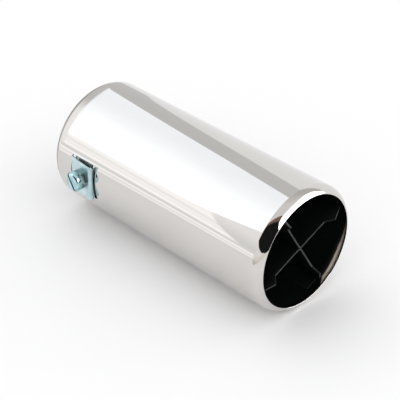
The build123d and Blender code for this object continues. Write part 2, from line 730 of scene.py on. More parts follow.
@dataclass(frozen=True)
class InsideCoat:
    """Black paint inside the tube, with a patch of bare metal behind the outlet's edge on one side, which is
    partly worn paint and partly painted light.

    The bare patch lies in a sector round the axis, in degrees from +Y towards +Z, where light falls in
    through the outlet, and it ends where the cross's strip shades the wall. At the sector's two ends it
    narrows to top_depth and foot_depth, as shares of its full depth. Towards the outlet's edge its colour
    turns to a painted shade, and a faint painted glow reaches past the patch. The spans that end in edge are
    shares of its depth at each place.
    """

    bare: Colour = (0.92, 0.80, 0.68, 1)
    # Painted shade: a dimmer copy of the bare colour, towards the outlet's edge.
    shaded_bare: Colour = (0.40, 0.33, 0.27, 1)
    bare_metallic: float = 0.25
    bare_roughness: float = 0.3
    bare_depth: float = 5.0
    # Painted light: the bare patch shows only in this sector, where light falls in through the outlet.
    lit_bare_sector: Span = (-64.0, 8.0)
    top_taper: float = 32.0
    top_depth: float = 0.45
    foot_taper: float = 9.0
    foot_depth: float = 0.3
    foot_fade: float = 1.0
    ragged_by: float = 0.2
    ragged_scale: float = 120.0
    bare_patch_edge: Span = (1.12, 0.86)
    # Painted glow: a faint share of the bare colour reaching past the patch.
    painted_glow_edge: Span = (1.6, 0.95)
    painted_glow_share: float = 0.025
    shaded_bare_edge: Span = (0.3, 0.8)
    paint_roughness: Span = (0.48, 0.62)
    dust_scale: float = 40.0
    dust_cover: float = 0.3
    grain_scale: float = 700.0
    grain_height: float = 0.02
    grain_strength: float = 0.6
    tube_length: float = 170.0

    def _bare_and_lit(self, wires: Wiring) -> tuple[NodeSocket, NodeSocket]:
        """Where the bare metal shows, partly worn paint and partly painted light.

        Args:
            wires: The material's wiring.

        Returns:
            The mask of the bare metal, and the share of the patch's depth at each point.
        """
        ragged = wires.noise(wires.here(), Scale=self.ragged_scale, Detail=4.0, Roughness=0.55)
        shift = wires.ramp(ragged, *NOISE_RANGE, -self.ragged_by * MM, self.ragged_by * MM)
        inwards = wires.math("SUBTRACT", self.tube_length * MM, wires.axis("X"))
        inwards = wires.math("ADD", inwards, shift)
        around = wires.math("DEGREES", wires.math("ARCTAN2", wires.axis("Z"), wires.axis("Y")))
        foot, top = self.lit_bare_sector
        # Painted light: the patch narrows towards the sector's ends, where less light falls and the strip
        # shades the wall.
        below_top = wires.ramp(around, top, top - self.top_taper, self.top_depth, 1.0)
        above_foot = wires.ramp(around, foot, foot + self.foot_taper, self.foot_depth, 1.0)
        depth = wires.math("MULTIPLY", wires.math("MULTIPLY", below_top, above_foot), self.bare_depth * MM)
        share = wires.math("DIVIDE", inwards, depth)
        worn = wires.ramp(share, *self.bare_patch_edge, smooth=True)
        # Painted glow past the patch's edge.
        painted_glow = wires.ramp(share, *self.painted_glow_edge, 0.0, self.painted_glow_share, smooth=True)
        # Painted light: the patch shows only inside the lit sector.
        from_foot = wires.ramp(around, foot - self.foot_fade, foot + self.foot_fade)
        from_top = wires.ramp(around, top, top - self.top_taper)
        sector = wires.math("MULTIPLY", from_foot, from_top)
        return wires.math("MULTIPLY", wires.math("MAXIMUM", worn, painted_glow), sector), share

    def material(self, effects: SharedEffects) -> Material:
        """Builds the material.

        Args:
            effects: The shared node groups.

        Returns:
            The material.
        """
        made, wires, shader = new_material("inside_coat")
        worn, share = self._bare_and_lit(wires)
        # Painted shade: the bare colour dims towards the outlet's edge.
        metal = wires.blend(wires.ramp(share, *self.shaded_bare_edge, smooth=True), self.shaded_bare, self.bare)
        dust = effects.use(
            wires, effects.wipe_marks, wires.here(), Scale=self.dust_scale, Cover=self.dust_cover
        )
        painted = wires.blend(dust, BLACK_PAINT, DUSTY_PAINT)
        wires.feed(shader.inputs["Base Color"], wires.blend(worn, painted, metal))
        wires.feed(shader.inputs["Metallic"], wires.math("MULTIPLY", worn, self.bare_metallic))
        rough_paint = wires.ramp(dust, 0.0, 1.0, *self.paint_roughness)
        wires.feed(shader.inputs["Roughness"], wires.ramp(worn, 0.0, 1.0, rough_paint, self.bare_roughness))
        shader.inputs["Specular IOR Level"].default_value = PAINT_SPECULAR
        grain = effects.use(wires, effects.fine_grain, wires.here(), Scale=self.grain_scale)
        wires.feed(shader.inputs["Normal"], wires.bump(grain, self.grain_height, self.grain_strength))
        return made


@dataclass(frozen=True)
class StripPaint:
    """Satin black paint on the folded sheet of the cross."""

    roughness: Span = (0.5, 0.64)
    dust_scale: float = 60.0
    dust_cover: float = 0.3
    grain_scale: float = 900.0
    grain_height: float = 0.02
    grain_strength: float = 0.6

    def material(self, effects: SharedEffects) -> Material:
        """Builds the material.

        Args:
            effects: The shared node groups.

        Returns:
            The material.
        """
        made, wires, shader = new_material("strip_paint")
        dust = effects.use(
            wires, effects.wipe_marks, wires.here(), Scale=self.dust_scale, Cover=self.dust_cover
        )
        grain = effects.use(wires, effects.fine_grain, wires.here(), Scale=self.grain_scale)
        wires.feed(shader.inputs["Base Color"], wires.blend(dust, BLACK_PAINT, DUSTY_PAINT))
        wires.feed(shader.inputs["Roughness"], wires.ramp(dust, 0.0, 1.0, *self.roughness))
        shader.inputs["Specular IOR Level"].default_value = PAINT_SPECULAR
        wires.feed(shader.inputs["Normal"], wires.bump(grain, self.grain_height, self.grain_strength))
        return made


@dataclass(frozen=True)
class ShearedEdge:
    """Cut edges of the cross: paint thin over grey steel, and full black on the slopes of the steps, as
    painted shade where they face away from the light.
    """

    paint: Colour = (0.005, 0.005, 0.005, 1)
    thin_paint: Colour = (0.016, 0.018, 0.017, 1)
    bare: Colour = (0.055, 0.057, 0.055, 1)
    bare_metallic: float = 0.7
    # Painted shade: between these radii the edge takes the full black paint colour.
    shaded_slope_radii: Span = (21.2, 25.3)
    shaded_slope_fade: float = 0.4
    roughness: Span = (0.38, 0.55)
    wear_scale: float = 260.0
    wear_cover: float = 0.45
    grain_stretch: Triple = (2500.0, 400.0, 400.0)
    grain_height: float = 0.03
    grain_strength: float = 0.7

    def material(self, effects: SharedEffects) -> Material:
        """Builds the material.

        Args:
            effects: The shared node groups.

        Returns:
            The material.
        """
        made, wires, shader = new_material("sheared_edge")
        worn = effects.use(
            wires, effects.wipe_marks, wires.here(), Scale=self.wear_scale, Cover=self.wear_cover
        )
        grain = effects.use(wires, effects.fine_grain, wires.stretched(self.grain_stretch), Scale=1.0)
        radius = wires.vector("LENGTH", wires.stretched((0.0, 1.0, 1.0)))
        inner, outer = self.shaded_slope_radii
        # Painted shade on the slopes of the steps, which face away from the light.
        shaded_slope = wires.within(radius, inner * MM, outer * MM, self.shaded_slope_fade * MM)
        edge = wires.blend(worn, self.thin_paint, self.bare)
        wires.feed(shader.inputs["Base Color"], wires.blend(shaded_slope, edge, self.paint))
        wires.feed(shader.inputs["Metallic"], wires.ramp(worn, 0.0, 1.0, 0.0, self.bare_metallic))
        wires.feed(shader.inputs["Roughness"], wires.ramp(grain, 0.0, 1.0, *self.roughness))
        shader.inputs["Specular IOR Level"].default_value = PAINT_SPECULAR
        wires.feed(shader.inputs["Normal"], wires.bump(grain, self.grain_height, self.grain_strength))
        return made


@dataclass(frozen=True)
class ZincPlate:
    """Bluish zinc plating, slightly clouded."""

    name: str = "zinc_plate"
    bright: Colour = (0.63, 0.77, 0.79, 1)
    clouded: Colour = (0.44, 0.60, 0.63, 1)
    cover: float = 0.42
    roughness: Span = (0.24, 0.38)
    cloud_scale: float = 160.0
    grain_scale: float = 1400.0
    grain_height: float = 0.01
    grain_strength: float = 0.5

    def material(self, effects: SharedEffects) -> Material:
        """Builds the material.

        Args:
            effects: The shared node groups.

        Returns:
            The material.
        """
        made, wires, shader = new_material(self.name)
        cloud = effects.use(wires, effects.wipe_marks, wires.here(), Scale=self.cloud_scale, Cover=self.cover)
        grain = effects.use(wires, effects.fine_grain, wires.here(), Scale=self.grain_scale)
        wires.feed(shader.inputs["Base Color"], wires.blend(cloud, self.bright, self.clouded))
        wires.feed(shader.inputs["Roughness"], wires.ramp(cloud, 0.0, 1.0, *self.roughness))
        shader.inputs["Metallic"].default_value = 1.0
        wires.feed(shader.inputs["Normal"], wires.bump(grain, self.grain_height, self.grain_strength))
        return made


@dataclass(frozen=True)
class StudioPaper:
    """White paper of the floor, plain white away from the part where camera and metal see it.

    Its centre and radii are in metres.
    """

    colour: Colour = (0.93, 0.93, 0.935, 1)
    shade: Colour = (0.915, 0.915, 0.92, 1)
    fibre_scale: float = 30.0
    centre: Triple = (0.085, -0.045, -0.038)
    plain_radius: float = 0.12
    white_radius: float = 0.27

    def material(self) -> Material:
        """Builds the material.

        Returns:
            The material.
        """
        made, wires, shader = new_material("studio_paper")
        fibre = wires.noise(wires.here(), Scale=self.fibre_scale, Detail=4.0, Roughness=0.55)
        wires.feed(shader.inputs["Base Color"], wires.blend(fibre, self.colour, self.shade))
        shader.inputs["Roughness"].default_value = 1.0
        shader.inputs["Specular IOR Level"].default_value = 0.0
        away = wires.vector("DISTANCE", wires.here(), self.centre)
        far = wires.ramp(away, self.plain_radius, self.white_radius, smooth=True)
        white = wires.node("ShaderNodeEmission")
        mix = wires.node("ShaderNodeMixShader")
        wires.feed(mix.inputs[0], wires.math("MULTIPLY", wires.seen(), far))
        wires.feed(mix.inputs[1], shader.outputs[0])
        wires.feed(mix.inputs[2], white.outputs[0])
        wires.feed(made.node_tree.nodes["Material Output"].inputs["Surface"], mix.outputs[0])
        return made


# Sub-assemblies


@dataclass
class ClampPlace:
    """Where the clamp sits on the tube, shared by its pieces."""

    tube_radius: float = 38.0
    tube_wall: float = 1.0
    sheet: float = 1.2
    start: float = 18.4
    span: float = 19.0
    rise: float = 1.4
    lift: float = 0.1
    leg_width: float = 17.0
    hook_gap: float = 0.05

    def __post_init__(self) -> None:
        """Works out the stations along the tube and the plate's own frame."""
        self.inlet_leg = self.start + self.sheet / 2
        self.outlet_leg = self.start + self.span - self.sheet / 2
        inner = self.tube_radius - self.tube_wall
        self.hook_height = sqrt(inner**2 - (self.leg_width / 2) ** 2) - self.hook_gap - self.sheet / 2
        self.low_height = self.tube_radius + self.lift + self.sheet / 2
        self.high_height = self.low_height + self.rise
        slope = atan2(self.rise, self.outlet_leg - self.inlet_leg)
        self.along = Vector((cos(slope), -sin(slope), 0))
        self.normal = Vector((-sin(slope), -cos(slope), 0))
        station = (self.inlet_leg + self.outlet_leg) / 2
        height = (self.low_height + self.high_height) / 2
        self.face_centre = Vector((station, -height, 0)) + self.normal * (self.sheet / 2)

    def frame(self, height: float = 0.0) -> Matrix:
        """The plate's frame, which takes millimetres to the part's metres.

        Args:
            height: How far the frame stands out from the plate's face.

        Returns:
            The matrix, with its z axis out of the plate and its x axis along the plate.
        """
        across = self.normal.cross(self.along)
        turn = Matrix((self.along, across, self.normal)).transposed().to_4x4()
        origin = (self.face_centre + self.normal * height) * MM
        return Matrix.Translation(origin) @ turn @ Matrix.Scale(MM, 4)


@dataclass
class TubeShell:
    """The polished tube, drawn in at both ends, with the clamp's slots and screw hole.

    The faces of the inside and of the cuts are told by how far they face away from the axis, as a
    number from -1 to 1.
    """

    clamp: ClampPlace
    radius: float = 38.0
    length: float = 170.0
    wall: float = 1.0
    lip_radius: float = 6.5
    lip_drop: float = 4.0
    rings: tuple[float, ...] = (12.0, 44.0, 85.0, 125.0)
    rim_rounding: float = 0.18
    rim_segments: int = 3
    rim_angle: float = 20.0
    segments: int = 288
    lip_steps: int = 20
    slot_length: float = 23.0
    slot_width: float = 3.6
    slot_segments: int = 48
    hole_radius: float = 3.7
    hole_depth: float = 25.0
    rim_margin: float = 0.25
    skin: float = 0.1
    inside_facing: float = -0.05
    cut_facing: float = 0.5

    def __post_init__(self) -> None:
        """Works out how far the curls' centres lie below the openings' edges."""
        self.lip_rise = self.lip_radius - self.lip_drop

    def _draw_end(self, bm: BMesh, outside: BMVert, inside: BMVert, way: int) -> None:
        """Draws the curl and the cut edge of one end.

        Args:
            bm: The bmesh of the section.
            outside: Where the outside's straight line ends.
            inside: Where the inside's straight line ends.
            way: 1 for the outlet, -1 for the inlet.
        """
        centre = Vector((outside.co.x, 0, (self.radius - self.lip_radius) * MM))
        axis = Vector((0, way, 0))
        outer_turn = pi / 2 - asin(self.lip_rise / self.lip_radius)
        inner_turn = pi / 2 - asin(self.lip_rise / (self.lip_radius - self.wall))
        outer_end = sweep_point(bm, outside, centre, axis, outer_turn, self.lip_steps)
        inner_end = sweep_point(bm, inside, centre, axis, inner_turn, self.lip_steps)
        bm.edges.new((outer_end, inner_end))

    def _section(self, bm: BMesh) -> None:
        """Draws the section of the wall, ready to be turned.

        Args:
            bm: An empty bmesh.
        """
        run = sqrt(self.lip_radius**2 - self.lip_rise**2)
        stations = (run, *self.rings, self.length - run)
        outside, inside = (
            draw_line(bm, [Vector((x, 0, radius)) * MM for x in stations])
            for radius in (self.radius, self.radius - self.wall)
        )
        self._draw_end(bm, outside[-1], inside[-1], 1)
        self._draw_end(bm, outside[0], inside[0], -1)

    def _round_rims(self, bm: BMesh) -> None:
        """Rounds the sharp rings of both cut edges.

        Args:
            bm: The bmesh of the turned tube.
        """
        limit = radians(self.rim_angle)
        sharp = [edge for edge in bm.edges if edge.is_manifold and edge.calc_face_angle() > limit]
        rings = []
        for edge in sharp:
            start, end = edge.verts
            if abs(start.co.x - end.co.x) < MERGE_DISTANCE:
                rings.append(edge)
        round_off(bm, rings, self.rim_rounding * MM, self.rim_segments, Rounded.EDGES)

    def _slot_tool(self, station: float) -> Object:
        """Makes the tool that cuts one slot.

        Args:
            station: The slot's place along the tube.

        Returns:
            The tool, an oblong bar along Y.
        """
        bm = bmesh.new()
        turn = Matrix.Rotation(pi / 2, 4, "X") @ Matrix.Rotation(pi / self.slot_segments, 4, "Z")
        bmesh.ops.create_circle(
            bm, cap_ends=True, segments=self.slot_segments, radius=self.slot_width / 2 * MM, matrix=turn
        )
        stretch = (self.slot_length - self.slot_width) / 2 * MM
        for way in (1, -1):
            end = [vert for vert in bm.verts if vert.co.z * way > 0]
            bmesh.ops.translate(bm, verts=end, vec=(0, 0, way * stretch))
        grown = bmesh.ops.extrude_face_region(bm, geom=bm.faces[:])["geom"]
        moved = [item for item in grown if isinstance(item, BMVert)]
        bmesh.ops.translate(bm, verts=moved, vec=(0, -self.radius * MM, 0))
        bmesh.ops.translate(bm, verts=bm.verts, vec=(station * MM, -self.clamp.hook_height * MM, 0))
        bmesh.ops.recalc_face_normals(bm, faces=bm.faces)
        return mesh_object(bm, "slot_tool")

    def build(self) -> Object:
        """Turns the section and cuts the clamp's openings.

        Returns:
            The tube.
        """
        bm = bmesh.new()
        self._section(bm)
        turn_round(bm, Vector((1, 0, 0)), self.segments, MERGE_DISTANCE)
        self._round_rims(bm)
        tube = mesh_object(bm, "polished_tube")
        for station in (self.clamp.inlet_leg, self.clamp.outlet_leg):
            cut(tube, self._slot_tool(station), Cut.REMOVE)
        hole_tool = straight_bar("hole_tool", self.hole_radius, self.hole_depth, self.clamp.frame())
        cut(tube, hole_tool, Cut.REMOVE)
        shade(tube)
        return tube

    def _mark_inside(self, tube: Object) -> None:
        """Gives the inside and the walls of the clamp's openings the second material.

        Args:
            tube: The finished tube, with both its materials.
        """
        rim = (self.radius - self.lip_drop + self.rim_margin) * MM
        clamp_start = self.lip_radius * MM
        clamp_end = (self.clamp.outlet_leg + self.slot_width) * MM
        for face in tube.data.polygons:
            out = Vector((0, face.center.y, face.center.z))
            facing = face.normal.dot(out.normalized())
            is_inside = facing < self.inside_facing and out.length > rim
            at_clamp = clamp_start < face.center.x < clamp_end
            below_skin = out.length < (self.radius - self.skin) * MM
            is_cut = at_clamp and below_skin and abs(facing) < self.cut_facing
            face.material_index = 1 if is_inside or is_cut else 0

    def dress(self, tube: Object, polish: Material, inside: Material) -> None:
        """Gives the tube its finishes and its place in the part."""
        fit(tube, Body.TIP, "outer_tube", Slot.POLISHED_STEEL, polish, inside)
        self._mark_inside(tube)


@dataclass
class FoldedBracket:
    """The clamp's sheet strip, folded through both slots of the tube."""

    clamp: ClampPlace
    width: float = 22.0
    bend: float = 1.2
    hook_length: float = 5.0
    hook_corner: float = 1.5
    hook_segments: int = 6
    hole_radius: float = 3.3
    edge_rounding: float = 0.14

    def _path(self) -> list[Vector]:
        """The corners of the strip at mid-sheet.

        Returns:
            The corners from hook to hook, in metres.
        """
        place = self.clamp
        corners = (
            (place.inlet_leg - self.hook_length, place.hook_height),
            (place.inlet_leg, place.hook_height),
            (place.inlet_leg, place.low_height),
            (place.outlet_leg, place.high_height),
            (place.outlet_leg, place.hook_height),
            (place.outlet_leg + self.hook_length, place.hook_height),
        )
        return [Vector((x, -out, -self.width / 2)) * MM for x, out in corners]

    def _half_width(self, out: float) -> float:
        """Half the strip's width at a height.

        Args:
            out: The height from the tube's axis.

        Returns:
            The half width in millimetres.
        """
        foot = self.clamp.hook_height + self.bend
        top = self.clamp.low_height - self.bend
        share = held((out - foot) / (top - foot))
        return self.clamp.leg_width / 2 + share * (self.width - self.clamp.leg_width) / 2

    def build(self) -> Object:
        """Folds the strip.

        Returns:
            The bracket.
        """
        bm = bmesh.new()
        for corner in draw_line(bm, self._path())[1:-1]:
            make_bend(bm, corner, self.bend * MM)
        far, _ = extrude_edges(bm, bm.edges[:])
        bmesh.ops.translate(bm, verts=far, vec=(0, 0, self.width * MM))
        for vert in bm.verts:
            side = 1 if vert.co.z > 0 else -1
            vert.co.z = side * self._half_width(-vert.co.y / MM) * MM
        hook_corners = [vert for vert in bm.verts if len(vert.link_edges) == 2]
        round_off(bm, hook_corners, self.hook_corner * MM, self.hook_segments, Rounded.CORNERS)
        bmesh.ops.recalc_face_normals(bm, faces=bm.faces)
        bracket = mesh_object(bm, "folded_bracket")
        thicken(bracket, self.clamp.sheet)
        hole_tool = straight_bar(
            "plate_hole_tool", self.hole_radius, TOOL_REACH * self.clamp.sheet, self.clamp.frame()
        )
        cut(bracket, hole_tool, Cut.REMOVE)
        shade(bracket)
        soften_edges(bracket, self.edge_rounding)
        return bracket

    def dress(self, bracket: Object, plating: Material) -> None:
        """Gives the bracket its finish and its place in the part."""
        fit(bracket, Body.TIP, "clamp_bracket", Slot.ZINC_PLATE, plating)


@dataclass
class FixedNut:
    """The thin hexagon nut on the bracket's plate."""

    clamp: ClampPlace
    sides: int = 6
    across_flats: float = 10.0
    height: float = 3.0
    corner_drop: float = 0.6
    bore_radius: float = 3.05
    segments: int = 96
    edge_rounding: float = 0.12

    def build(self) -> Object:
        """Turns a blank with its corners taken off, and keeps its six flats.

        Returns:
            The nut.
        """
        corner = self.across_flats / sqrt(3)
        blank_radius = 2 * corner - self.across_flats / 2
        outline = (
            (self.bore_radius, 0),
            (blank_radius, 0),
            (blank_radius, self.height - 2 * self.corner_drop),
            (self.across_flats / 2, self.height),
            (self.bore_radius, self.height),
        )
        bm = bmesh.new()
        ring = draw_line(bm, [Vector((radius, 0, z)) for radius, z in outline])
        bm.edges.new((ring[-1], ring[0]))
        turn_round(bm, Vector((0, 0, 1)), self.segments, MERGE_DISTANCE / MM)
        bmesh.ops.transform(bm, matrix=self.clamp.frame(), verts=bm.verts)
        nut = mesh_object(bm, "fixed_nut")
        flats = self.clamp.frame() @ Matrix.Rotation(pi / self.sides, 4, "Z")
        tool = straight_bar("hexagon_tool", corner, TOOL_REACH * self.height, flats, self.sides)
        cut(nut, tool, Cut.KEEP)
        shade(nut)
        soften_edges(nut, self.edge_rounding)
        return nut

    def dress(self, nut: Object, plating: Material) -> None:
        """Gives the nut its finish and its place in the part."""
        fit(nut, Body.TIP, "clamp_nut", Slot.ZINC_PLATE, plating)


@dataclass
class SlottedScrew:
    """The clamp screw: pan head with a driver slot, and a threaded shank.

    The thread's root and crest are given as shares of its pitch.
    """

    clamp: ClampPlace
    head_seat: float = 3.1
    head_radius: float = 6.0
    head_height: float = 3.6
    head_round: float = 1.8
    head_steps: int = 10
    under_round: float = 0.25
    under_steps: int = 4
    slot_width: float = 1.6
    slot_depth: float = 1.8
    slot_reach: float = 18.0
    slot_turn: float = -54.0
    shank_radius: float = 3.0
    shank_length: float = 25.0
    tip_chamfer: float = 1.0
    pitch: float = 1.0
    thread_depth: float = 0.55
    root_share: float = 0.25
    crest_share: float = 0.25
    rings_per_turn: int = 8
    segments: int = 64
    tolerance: float = 0.01

    def _outline(self, bm: BMesh) -> None:
        """Draws the section of head and shank.

        Args:
            bm: An empty bmesh.
        """
        side = Vector((0, 1, 0))
        top = self.head_height
        flat = self.head_radius - self.head_round
        vert = draw_line(bm, (Vector((0, 0, top)), Vector((flat, 0, top))))[-1]
        centre = Vector((flat, 0, top - self.head_round))
        vert = sweep_point(bm, vert, centre, side, pi / 2, self.head_steps)
        vert = draw_line(bm, [Vector((self.head_radius, 0, self.under_round))], vert)[-1]
        centre = Vector((self.head_radius - self.under_round, 0, self.under_round))
        vert = sweep_point(bm, vert, centre, side, pi / 2, self.under_steps)
        straight = self.shank_length - self.tip_chamfer
        rings = int(straight / self.pitch * self.rings_per_turn)
        shank = [Vector((self.shank_radius, 0, -straight * ring / rings)) for ring in range(rings + 1)]
        tip = Vector((self.shank_radius - self.tip_chamfer, 0, -self.shank_length))
        draw_line(bm, (*shank, tip, Vector((0, 0, -self.shank_length))), vert)

    def _cut_thread(self, bm: BMesh) -> None:
        """Presses the thread's groove into the shank, from nothing under the head to its full depth.

        Args:
            bm: The bmesh of the turned screw.
        """
        end = self.tip_chamfer - self.shank_length
        root = self.root_share / 2
        crest = (1 - self.crest_share) / 2
        for vert in bm.verts:
            on_shank = abs(vert.co.xy.length - self.shank_radius) <= self.tolerance
            if not on_shank or not end - self.tolerance < vert.co.z < -self.tolerance:
                continue
            turn = vert.co.z / self.pitch - atan2(vert.co.y, vert.co.x) / (2 * pi)
            from_root = abs(turn - floor(turn) - 0.5)
            groove = held((crest - from_root) / (crest - root))
            depth = self.thread_depth * groove * held(-vert.co.z / self.pitch)
            vert.co.xy *= 1 - depth / self.shank_radius

    def build(self) -> Object:
        """Turns the screw, cuts its thread and its driver slot.

        Returns:
            The screw.
        """
        bm = bmesh.new()
        self._outline(bm)
        turn_round(bm, Vector((0, 0, 1)), self.segments, MERGE_DISTANCE / MM)
        self._cut_thread(bm)
        place = self.clamp.frame(self.head_seat)
        bmesh.ops.transform(bm, matrix=place, verts=bm.verts)
        screw = mesh_object(bm, "slotted_screw")
        bm = bmesh.new()
        bmesh.ops.create_cube(bm, size=1.0)
        size = Matrix.Diagonal((self.slot_reach, self.slot_width, 2 * self.slot_depth, 1))
        lift = Matrix.Translation((0, 0, self.head_height))
        turn = Matrix.Rotation(radians(self.slot_turn), 4, "Z")
        bmesh.ops.transform(bm, matrix=place @ turn @ lift @ size, verts=bm.verts)
        cut(screw, mesh_object(bm, "driver_slot_tool"), Cut.REMOVE)
        shade(screw)
        return screw

    def dress(self, screw: Object, plating: Material) -> None:
        """Gives the screw its finish and its place in the part."""
        fit(screw, Body.SCREW, "clamp_screw", Slot.ZINC_PLATE, plating)


@dataclass
class CrossStrip:
    """One V-shaped strip of the cross in the outlet, with its feet on the wall.

    The front edge is given as distances from the tube's axis and depths behind the outlet's plane.
    """

    name: str
    node: str
    turn: float
    tube_length: float = 170.0
    inner_radius: float = 37.0
    sheet: float = 1.0
    depth: float = 26.0
    angle: float = 98.0
    apex_bend: float = 2.0
    apex_gap: float = 0.1
    foot_length: float = 9.0
    foot_bend: float = 1.5
    foot_gap: float = 0.05
    foot_front: float = 7.0
    foot_steps: int = 8
    front_edge: tuple[Span, ...] = ((0.0, 4.5), (21.0, 4.5), (25.5, 0.3), (34.5, 4.0))
    edge_rounding: float = 0.12
    tolerance: float = 0.001

    def __post_init__(self) -> None:
        """Works out the strip's run from foot to foot."""
        self.half_angle = radians(self.angle / 2)
        self.foot_radius = self.inner_radius - self.foot_gap - self.sheet / 2
        bent_back = self.apex_bend / sin(self.half_angle) - self.apex_bend
        self.apex = self.apex_gap / 2 + self.sheet / 2 - bent_back
        self.foot_sweep = self.foot_length / self.foot_radius

    def _reach(self, radius: float) -> float:
        """How far along an arm a radius is met.

        Args:
            radius: The distance from the tube's axis.

        Returns:
            The distance from the apex.
        """
        return sqrt(radius**2 - (self.apex * sin(self.half_angle)) ** 2) - self.apex * cos(self.half_angle)

    def _front(self, radius: float) -> float:
        """How far the front edge lies behind the outlet plane.

        Args:
            radius: The distance from the tube's axis.

        Returns:
            The depth in millimetres.
        """
        for (near, near_depth), (far, far_depth) in zip(self.front_edge, self.front_edge[1:]):
            if radius <= far:
                return near_depth + (far_depth - near_depth) * (radius - near) / (far - near)
        return self.front_edge[-1][1]

    def _arm(self, way: int) -> list[Vector]:
        """Points along one arm, from the apex to the wall.

        Args:
            way: 1 or -1, for the two arms.

        Returns:
            The points in the strip's own plane.
        """
        heading = Vector((way * sin(self.half_angle), cos(self.half_angle), 0))
        stops = [radius for radius, _ in self.front_edge[1:]] + [self.foot_radius]
        return [Vector((0, self.apex, 0)) + heading * self._reach(radius) for radius in stops]

    def _run(self, bm: BMesh) -> None:
        """Draws the strip's run from foot to foot, with its bends.

        Args:
            bm: An empty bmesh.
        """
        apex = bm.verts.new((0, self.apex, 0))
        heels = []
        for way in (1, -1):
            heel = draw_line(bm, self._arm(way), apex)[-1]
            heels.append(heel)
            sweep_point(bm, heel, Vector(), Vector((0, 0, 1)), way * self.foot_sweep, self.foot_steps)
        make_bend(bm, apex, self.apex_bend)
        for heel in heels:
            make_bend(bm, heel, self.foot_bend)

    def _place(self) -> Matrix:
        """The strip's frame, which takes millimetres to the part's metres.

        Returns:
            The matrix, with its z axis into the tube from the outlet's plane.
        """
        turn = radians(self.turn)
        across = Vector((0, -cos(turn), sin(turn)))
        into = Vector((-1, 0, 0))
        frame = Matrix((across, into.cross(across), into)).transposed().to_4x4()
        return Matrix.Translation((self.tube_length * MM, 0, 0)) @ frame @ Matrix.Scale(MM, 4)

    def build(self) -> Object:
        """Folds the strip with its stepped front edge.

        Returns:
            The strip, whose cut edges have its second material.
        """
        bm = bmesh.new()
        self._run(bm)
        bmesh.ops.translate(bm, verts=bm.verts, vec=(0, 0, self.depth))
        front, front_edges = extrude_edges(bm, bm.edges[:])
        bmesh.ops.translate(bm, verts=front, vec=(0, 0, self.foot_front - self.depth))
        arm_end = self.front_edge[-1][0] + self.tolerance
        arms = [edge for edge in front_edges if all(vert.co.xy.length < arm_end for vert in edge.verts)]
        steps, _ = extrude_edges(bm, arms)
        for vert in steps:
            vert.co.z = self._front(vert.co.xy.length)
        bmesh.ops.transform(bm, matrix=self._place(), verts=bm.verts)
        bmesh.ops.recalc_face_normals(bm, faces=bm.faces)
        strip = mesh_object(bm, self.name)
        thicken(strip, self.sheet).material_offset_rim = 1
        shade(strip)
        soften_edges(strip, self.edge_rounding)
        return strip

    def dress(self, strip: Object, paint: Material, edge: Material) -> None:
        """Gives the strip its finishes and its place in the part."""
        fit(strip, Body.TIP, self.node, Slot.BLACK_PAINT, paint, edge)


# Studio


def direction(azimuth: float, elevation: float) -> Vector:
    """A direction seen from the part.

    Args:
        azimuth: Degrees from -Y towards +X.
        elevation: Degrees above the floor.

    Returns:
        The unit direction.
    """
    turn = radians(azimuth)
    lift = radians(elevation)
    return Vector((sin(turn) * cos(lift), -cos(turn) * cos(lift), sin(lift)))


def dome(middle: float, radius: float, steps: int = 30) -> tuple[Angles, ...]:
    """The outline of a half-round card that stands on the horizon.

    Args:
        middle: The azimuth of its middle.
        radius: Its angular radius in degrees.
        steps: How many edges the half circle has.

    Returns:
        The corners as azimuths and elevations.
    """
    corners = []
    for step in range(steps + 1):
        turn = pi * step / steps
        side = atan2(sin(radians(radius)) * cos(turn), cos(radians(radius)))
        height = asin(sin(radians(radius)) * sin(turn))
        corners.append((middle + degrees(side), degrees(height)))
    return tuple(corners)


def show_in_metal(card: Object, glow: Material) -> None:
    """Gives a card its glow, seen only in the metal.

    Args:
        card: The card.
        glow: Its material.
    """
    card.data.materials.append(glow)
    card.visible_camera = False
    card.visible_diffuse = False
    card.visible_shadow = False


